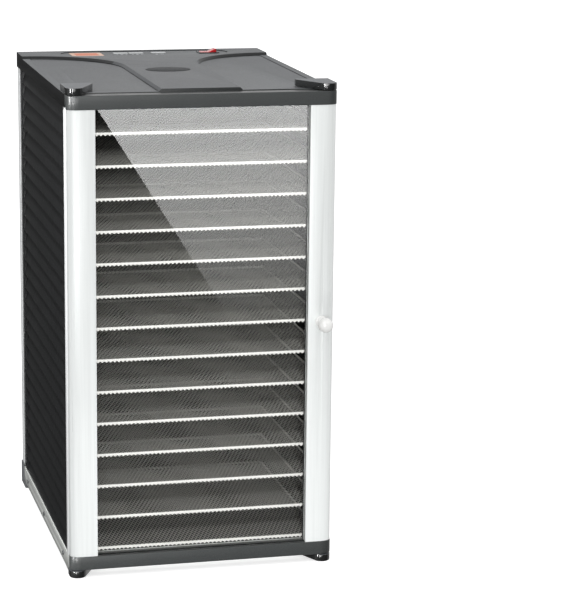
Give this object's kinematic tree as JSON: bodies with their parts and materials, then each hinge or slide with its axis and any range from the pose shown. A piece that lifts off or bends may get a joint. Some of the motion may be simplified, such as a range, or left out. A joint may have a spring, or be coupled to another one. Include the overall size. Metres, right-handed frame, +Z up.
{
  "type": "food dehydrator",
  "caption": "Tall cabinet food dehydrator with a hinged glass door, stacked slide-out wire trays, a rear fan and heater, and a control console on the lid.",
  "frame": {"origin": "centre of the footprint's bounding box, on the floor", "axes": "+Z up, -Y towards the door and its knob, +X to the right as seen from the door"},
  "size_m": [0.4026, 0.555, 0.7305],
  "materials": {
    "graphite_plastic": "fine-grained graphite moulded plastic",
    "bracket_plastic": "dark glossy moulded plastic",
    "grey_panel": "grey powder coat",
    "silver_trim": "satin anodised",
    "white_stile": "pale satin anodised extrusion",
    "knob_plastic": "white gloss plastic",
    "door_glass": "clear tempered sheet with polished edges",
    "gasket_rubber": "black extruded rubber",
    "tray_wire": "bright plated wire",
    "liner_steel": "plain sheet steel",
    "display": "backlit window",
    "display_frame": "white moulded frame",
    "circuit_board": "green laminate with dark components",
    "black_plastic": "black moulded plastic",
    "red_plastic": "red translucent gloss plastic",
    "key_plastic": "light grey gloss plastic",
    "zinc_steel": "zinc plated",
    "foot_plastic": "grey moulded plastic",
    "motor_steel": "laminated and painted steel",
    "aluminium": "pressed sheet",
    "heater_steel": "heat-tinted tube",
    "brass": "plain",
    "inlet_plastic": "black moulded plastic with plated pins",
    "magnet": "dark ferrite",
    "catch_steel": "nickel plated"
  },
  "bodies": {
    "cabinet": {"top_cover": "graphite_plastic", "inner_ceiling": "liner_steel", "display_window": "display", "display_module": "display_frame", "control_board": "circuit_board", "rocker_housing": "black_plastic", "badge_plate": "graphite_plastic", "hinge_bracket_upper_left": "bracket_plastic", "hinge_bracket_upper_right": "bracket_plastic", "hinge_bracket_lower_left": "bracket_plastic", "hinge_bracket_lower_right": "bracket_plastic", "hinge_pins": "zinc_steel", "bracket_screws": "zinc_steel", "cabinet_screws": "zinc_steel", "front_post_left": "silver_trim", "front_post_right": "silver_trim", "rear_post_left": "silver_trim", "rear_post_right": "silver_trim", "side_panel_left": "grey_panel", "side_panel_right": "grey_panel", "base_rail_left": "silver_trim", "base_rail_right": "silver_trim", "base_pan": "liner_steel", "floor_plate": "liner_steel", "rear_panel": "grey_panel", "baffle_panel": "liner_steel", "rear_feet": "foot_plastic", "fan_motor": "motor_steel", "heater_element": "heater_steel", "thermal_cutout": "brass", "power_inlet": "inlet_plastic", "catch_magnet": "magnet"},
    "door": {"door_rail_top": "graphite_plastic", "door_rail_bottom": "graphite_plastic", "door_stile_left": "white_stile", "door_stile_right": "white_stile", "door_glass": "door_glass", "glass_gasket": "gasket_rubber", "door_knob": "knob_plastic", "knob_screw": "zinc_steel", "catch_plate": "catch_steel"},
    "fan": {"fan_rotor": "aluminium"},
    "power_rocker": {"rocker": "red_plastic"},
    "key_down": {"key_down": "key_plastic"},
    "key_up": {"key_up": "key_plastic"},
    "key_start": {"key_start": "key_plastic"},
    "tray_01": {"tray_01": "tray_wire"},
    "tray_02": {"tray_02": "tray_wire"},
    "tray_03": {"tray_03": "tray_wire"},
    "tray_04": {"tray_04": "tray_wire"},
    "tray_05": {"tray_05": "tray_wire"},
    "tray_06": {"tray_06": "tray_wire"},
    "tray_07": {"tray_07": "tray_wire"},
    "tray_08": {"tray_08": "tray_wire"},
    "tray_09": {"tray_09": "tray_wire"},
    "tray_10": {"tray_10": "tray_wire"},
    "tray_11": {"tray_11": "tray_wire"},
    "tray_12": {"tray_12": "tray_wire"},
    "tray_13": {"tray_13": "tray_wire"},
    "tray_14": {"tray_14": "tray_wire"}
  },
  "joints": [
    {"name": "door_hinge", "type": "hinge", "parent": "cabinet", "child": "door", "pos_m": [-0.189, -0.2315, 0.366], "axis": [0, 0, -1], "range_deg": [0, 180]},
    {"name": "fan_spin", "type": "hinge", "parent": "cabinet", "child": "fan", "pos_m": [0, 0.2185, 0.37], "axis": [0, 1, 0], "continuous": true},
    {"name": "power_rocker", "type": "hinge", "parent": "cabinet", "child": "power_rocker", "pos_m": [0.1075, 0.2335, 0.7234], "axis": [0, 1, 0], "range_deg": [0, 24]},
    {"name": "key_down_press", "type": "slide", "parent": "cabinet", "child": "key_down", "axis": [0, 0, -1], "range_m": [0, 0.0012], "stiffness_N_per_m": 300, "springref_m": -0.001},
    {"name": "key_up_press", "type": "slide", "parent": "cabinet", "child": "key_up", "axis": [0, 0, -1], "range_m": [0, 0.0012], "stiffness_N_per_m": 300, "springref_m": -0.001},
    {"name": "key_start_press", "type": "slide", "parent": "cabinet", "child": "key_start", "axis": [0, 0, -1], "range_m": [0, 0.0012], "stiffness_N_per_m": 300, "springref_m": -0.001},
    {"name": "tray_01_slide", "type": "slide", "parent": "cabinet", "child": "tray_01", "axis": [0, -1, 0], "range_m": [0, 0.007]},
    {"name": "tray_02_slide", "type": "slide", "parent": "cabinet", "child": "tray_02", "axis": [0, -1, 0], "range_m": [0, 0.007]},
    {"name": "tray_03_slide", "type": "slide", "parent": "cabinet", "child": "tray_03", "axis": [0, -1, 0], "range_m": [0, 0.007]},
    {"name": "tray_04_slide", "type": "slide", "parent": "cabinet", "child": "tray_04", "axis": [0, -1, 0], "range_m": [0, 0.007]},
    {"name": "tray_05_slide", "type": "slide", "parent": "cabinet", "child": "tray_05", "axis": [0, -1, 0], "range_m": [0, 0.007]},
    {"name": "tray_06_slide", "type": "slide", "parent": "cabinet", "child": "tray_06", "axis": [0, -1, 0], "range_m": [0, 0.007]},
    {"name": "tray_07_slide", "type": "slide", "parent": "cabinet", "child": "tray_07", "axis": [0, -1, 0], "range_m": [0, 0.007]},
    {"name": "tray_08_slide", "type": "slide", "parent": "cabinet", "child": "tray_08", "axis": [0, -1, 0], "range_m": [0, 0.007]},
    {"name": "tray_09_slide", "type": "slide", "parent": "cabinet", "child": "tray_09", "axis": [0, -1, 0], "range_m": [0, 0.007]},
    {"name": "tray_10_slide", "type": "slide", "parent": "cabinet", "child": "tray_10", "axis": [0, -1, 0], "range_m": [0, 0.007]},
    {"name": "tray_11_slide", "type": "slide", "parent": "cabinet", "child": "tray_11", "axis": [0, -1, 0], "range_m": [0, 0.007]},
    {"name": "tray_12_slide", "type": "slide", "parent": "cabinet", "child": "tray_12", "axis": [0, -1, 0], "range_m": [0, 0.007]},
    {"name": "tray_13_slide", "type": "slide", "parent": "cabinet", "child": "tray_13", "axis": [0, -1, 0], "range_m": [0, 0.007]},
    {"name": "tray_14_slide", "type": "slide", "parent": "cabinet", "child": "tray_14", "axis": [0, -1, 0], "range_m": [0, 0.007]}
  ]
}
